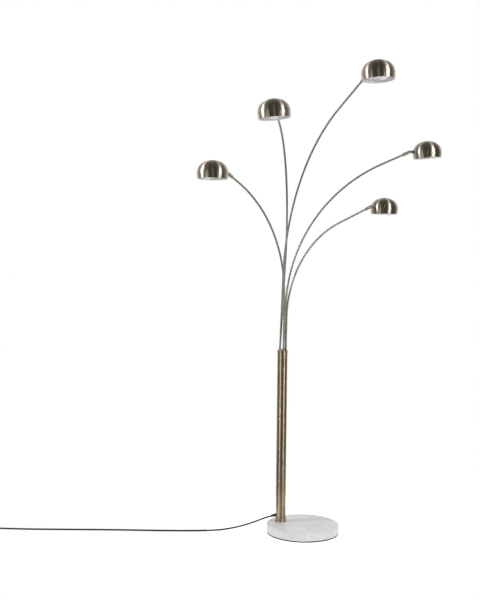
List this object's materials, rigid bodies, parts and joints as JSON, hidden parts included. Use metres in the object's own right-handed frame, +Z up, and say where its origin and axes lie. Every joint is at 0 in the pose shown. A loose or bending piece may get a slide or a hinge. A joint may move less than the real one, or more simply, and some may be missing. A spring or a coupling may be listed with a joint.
{
  "type": "multi-arm arc floor lamp",
  "caption": "Floor lamp with bent brass arms that turn in a ring of sockets on an off-centre column, a tilting dome shade on each arm, a round marble base and a coiled mains cord.",
  "frame": {"origin": "centre of the round base's underside, on the floor", "axes": "+Z up, -Y to the front where the picture was taken from, +X to the right in the picture"},
  "size_m": [2.1209, 0.9671, 1.846],
  "materials": {
    "antique_brass": "satin brushed, antiqued",
    "marble": "honed, pale grey with faint veins",
    "black_rubber": "matte",
    "cord_black": "satin",
    "black_plastic": "fine texture",
    "white_plastic": "smooth",
    "frosted_glass": "frosted white",
    "plain_steel": "zinc plated",
    "blade_brass": "bright"
  },
  "bodies": {
    "stand": {"base_pad": "black_rubber", "marble_base": "marble", "foot_collar": "antique_brass", "column_tube": "antique_brass", "column_cap": "antique_brass", "foot_plug": "plain_steel", "column_stud": "plain_steel", "stud_washer": "plain_steel", "stud_nut": "plain_steel", "cord_bushing": "black_rubber", "cord_run": "cord_black", "cord_coil": "cord_black", "coil_tie": "black_plastic", "plug_body": "black_plastic", "plug_blade_upper": "blade_brass", "plug_blade_lower": "blade_brass", "switch_body": "black_plastic"},
    "switch_button": {"switch_button": "black_plastic"},
    "arm_a": {"arm_a": "antique_brass", "knuckle_a": "antique_brass", "pivot_pin_a": "plain_steel"},
    "head_a": {"stub_a": "antique_brass", "shade_nut_a": "plain_steel", "shade_a": "antique_brass", "lampholder_a": "white_plastic", "bulb_cap_a": "white_plastic", "bulb_a": "frosted_glass"},
    "arm_b": {"arm_b": "antique_brass", "knuckle_b": "antique_brass", "pivot_pin_b": "plain_steel"},
    "head_b": {"stub_b": "antique_brass", "shade_nut_b": "plain_steel", "shade_b": "antique_brass", "lampholder_b": "white_plastic", "bulb_cap_b": "white_plastic", "bulb_b": "frosted_glass"},
    "arm_c": {"arm_c": "antique_brass", "knuckle_c": "antique_brass", "pivot_pin_c": "plain_steel"},
    "head_c": {"stub_c": "antique_brass", "shade_nut_c": "plain_steel", "shade_c": "antique_brass", "lampholder_c": "white_plastic", "bulb_cap_c": "white_plastic", "bulb_c": "frosted_glass"},
    "arm_d": {"arm_d": "antique_brass", "knuckle_d": "antique_brass", "pivot_pin_d": "plain_steel"},
    "head_d": {"stub_d": "antique_brass", "shade_nut_d": "plain_steel", "shade_d": "antique_brass", "lampholder_d": "white_plastic", "bulb_cap_d": "white_plastic", "bulb_d": "frosted_glass"},
    "arm_e": {"arm_e": "antique_brass", "knuckle_e": "antique_brass", "pivot_pin_e": "plain_steel"},
    "head_e": {"stub_e": "antique_brass", "shade_nut_e": "plain_steel", "shade_e": "antique_brass", "lampholder_e": "white_plastic", "bulb_cap_e": "white_plastic", "bulb_e": "frosted_glass"}
  },
  "joints": [
    {"name": "arm_a_swivel", "type": "hinge", "parent": "stand", "child": "arm_a", "pos_m": [-0.08685, 0.01921, 0.757], "axis": [-0.0039, -0.0749, 0.9972], "range_deg": [-60, 60]},
    {"name": "shade_a_tilt", "type": "hinge", "parent": "arm_a", "child": "head_a", "pos_m": [-0.32693, -0.24214, 1.47146], "axis": [0.6839, -0.7295, 0.0071], "range_deg": [-40, 40]},
    {"name": "arm_b_swivel", "type": "hinge", "parent": "stand", "child": "arm_b", "pos_m": [-0.10194, 0.03999, 0.757], "axis": [0.0522, 0.0243, 0.9983], "range_deg": [-60, 8]},
    {"name": "shade_b_tilt", "type": "hinge", "parent": "arm_b", "child": "head_b", "pos_m": [-0.14446, -0.41271, 1.67788], "axis": [0.9852, -0.1474, 0.0869], "range_deg": [-40, 40]},
    {"name": "arm_c_swivel", "type": "hinge", "parent": "stand", "child": "arm_c", "pos_m": [-0.10194, 0.02412, 0.757], "axis": [0.0314, 0.0011, 0.9995], "range_deg": [-18, 40]},
    {"name": "shade_c_tilt", "type": "hinge", "parent": "arm_c", "child": "head_c", "pos_m": [0.17576, -0.48587, 1.80155], "axis": [0.8869, 0.4608, 0.033], "range_deg": [-40, 40]},
    {"name": "arm_d_swivel", "type": "hinge", "parent": "stand", "child": "arm_d", "pos_m": [-0.08685, 0.04489, 0.757], "axis": [0.0449, 0.0747, 0.9962], "range_deg": [-60, 75]},
    {"name": "shade_d_tilt", "type": "hinge", "parent": "arm_d", "child": "head_d", "pos_m": [0.438, 0.10072, 1.59222], "axis": [-0.029, 0.9994, 0.02], "range_deg": [-40, 40]},
    {"name": "arm_e_swivel", "type": "hinge", "parent": "stand", "child": "arm_e", "pos_m": [-0.07752, 0.03205, 0.757], "axis": [0.0138, 0.0022, 0.9999], "range_deg": [-75, 10]},
    {"name": "shade_e_tilt", "type": "hinge", "parent": "arm_e", "child": "head_e", "pos_m": [0.30119, 0.26028, 1.37087], "axis": [-0.5225, 0.8526, 0.0053], "range_deg": [-40, 40]},
    {"name": "switch_press", "type": "slide", "parent": "stand", "child": "switch_button", "axis": [0, 0, -1], "range_m": [0, 0.003], "stiffness_N_per_m": 400, "springref_m": -0.002}
  ]
}
